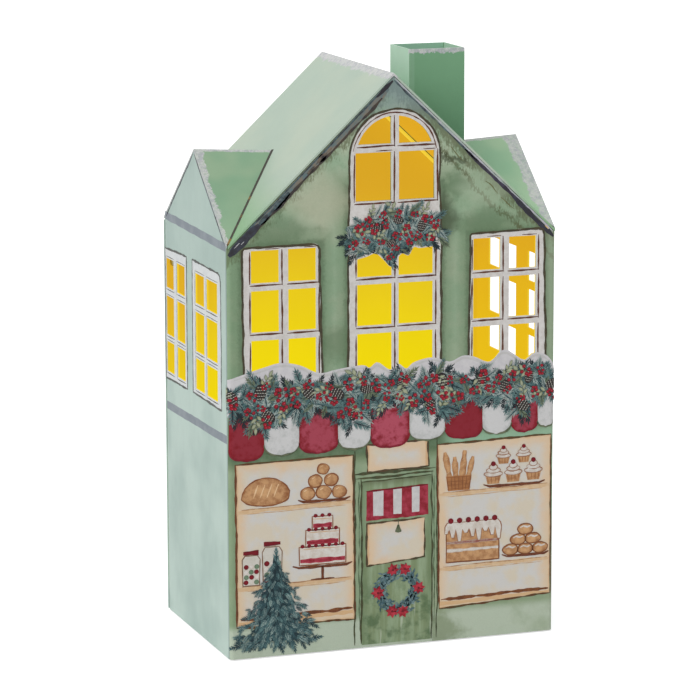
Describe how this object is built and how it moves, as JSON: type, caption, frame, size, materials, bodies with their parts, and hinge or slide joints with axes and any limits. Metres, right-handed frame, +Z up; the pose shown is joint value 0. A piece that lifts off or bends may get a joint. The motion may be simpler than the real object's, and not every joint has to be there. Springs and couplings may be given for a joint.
{
  "type": "light-up village bakery",
  "caption": "Tabletop tin house shaped as a bakery, with punched window panes, a cross-gable roof, a chimney and a battery light on its base tray.",
  "frame": {"origin": "on the surface the house stands on, under the middle of its footprint", "axes": "+Z up, -Y towards the front of the house, +X to the right as seen from the front"},
  "size_m": [0.176, 0.112, 0.305],
  "materials": {
    "wall_tin": "satin print on tin, pale mint",
    "roof_tin": "satin print on tin, mint green",
    "chimney_tin": "satin print on tin, sage green",
    "bare_tin": "plain tin plate",
    "zinc_steel": "zinc plated",
    "foam": "matt foam",
    "black_plastic": "moulded, fine texture",
    "white_plastic": "moulded",
    "milky_plastic": "milky, lit from inside",
    "battery_sleeve": "glossy sleeve",
    "board_green": "solder mask",
    "led_amber": "clear amber lens",
    "lead_red": "insulated lead",
    "lead_black": "insulated lead"
  },
  "bodies": {
    "house": {"wall_wrap": "wall_tin", "rear_wall": "wall_tin", "main_roof": "roof_tin", "left_gable_roof": "roof_tin", "right_gable_roof": "roof_tin", "chimney": "chimney_tin", "rear_rivet_1": "zinc_steel", "rear_rivet_2": "zinc_steel", "rear_rivet_3": "zinc_steel", "rear_rivet_4": "zinc_steel", "rear_rivet_5": "zinc_steel", "rear_rivet_6": "zinc_steel", "base_screw_left": "zinc_steel", "base_screw_right": "zinc_steel", "base_plate": "bare_tin", "foot_pad_front_left": "foam", "foot_pad_front_right": "foam", "foot_pad_rear_left": "foam", "foot_pad_rear_right": "foam", "module_housing": "black_plastic", "battery_1": "battery_sleeve", "battery_2": "battery_sleeve", "battery_3": "battery_sleeve", "contact_spring_1": "zinc_steel", "contact_spring_2": "zinc_steel", "contact_spring_3": "zinc_steel", "contact_plate_1": "zinc_steel", "contact_plate_2": "zinc_steel", "contact_plate_3": "zinc_steel", "switch_body": "black_plastic", "led_board": "board_green", "led_1": "led_amber", "led_2": "led_amber", "led_3": "led_amber", "led_4": "led_amber", "diffuser_dome": "milky_plastic", "board_screw_1": "zinc_steel", "board_screw_2": "zinc_steel", "module_screw_1": "zinc_steel", "module_screw_2": "zinc_steel", "module_screw_3": "zinc_steel", "module_screw_4": "zinc_steel", "lead_positive": "lead_red", "lead_negative": "lead_black"},
    "battery_door": {"battery_door": "black_plastic"},
    "switch_slider": {"switch_slider": "white_plastic"}
  },
  "joints": [
    {"name": "battery_door_slide", "type": "slide", "parent": "house", "child": "battery_door", "axis": [1, 0, 0], "range_m": [0, 0.008]},
    {"name": "switch_slide", "type": "slide", "parent": "house", "child": "switch_slider", "axis": [0, 1, 0], "range_m": [0, 0.004]}
  ]
}
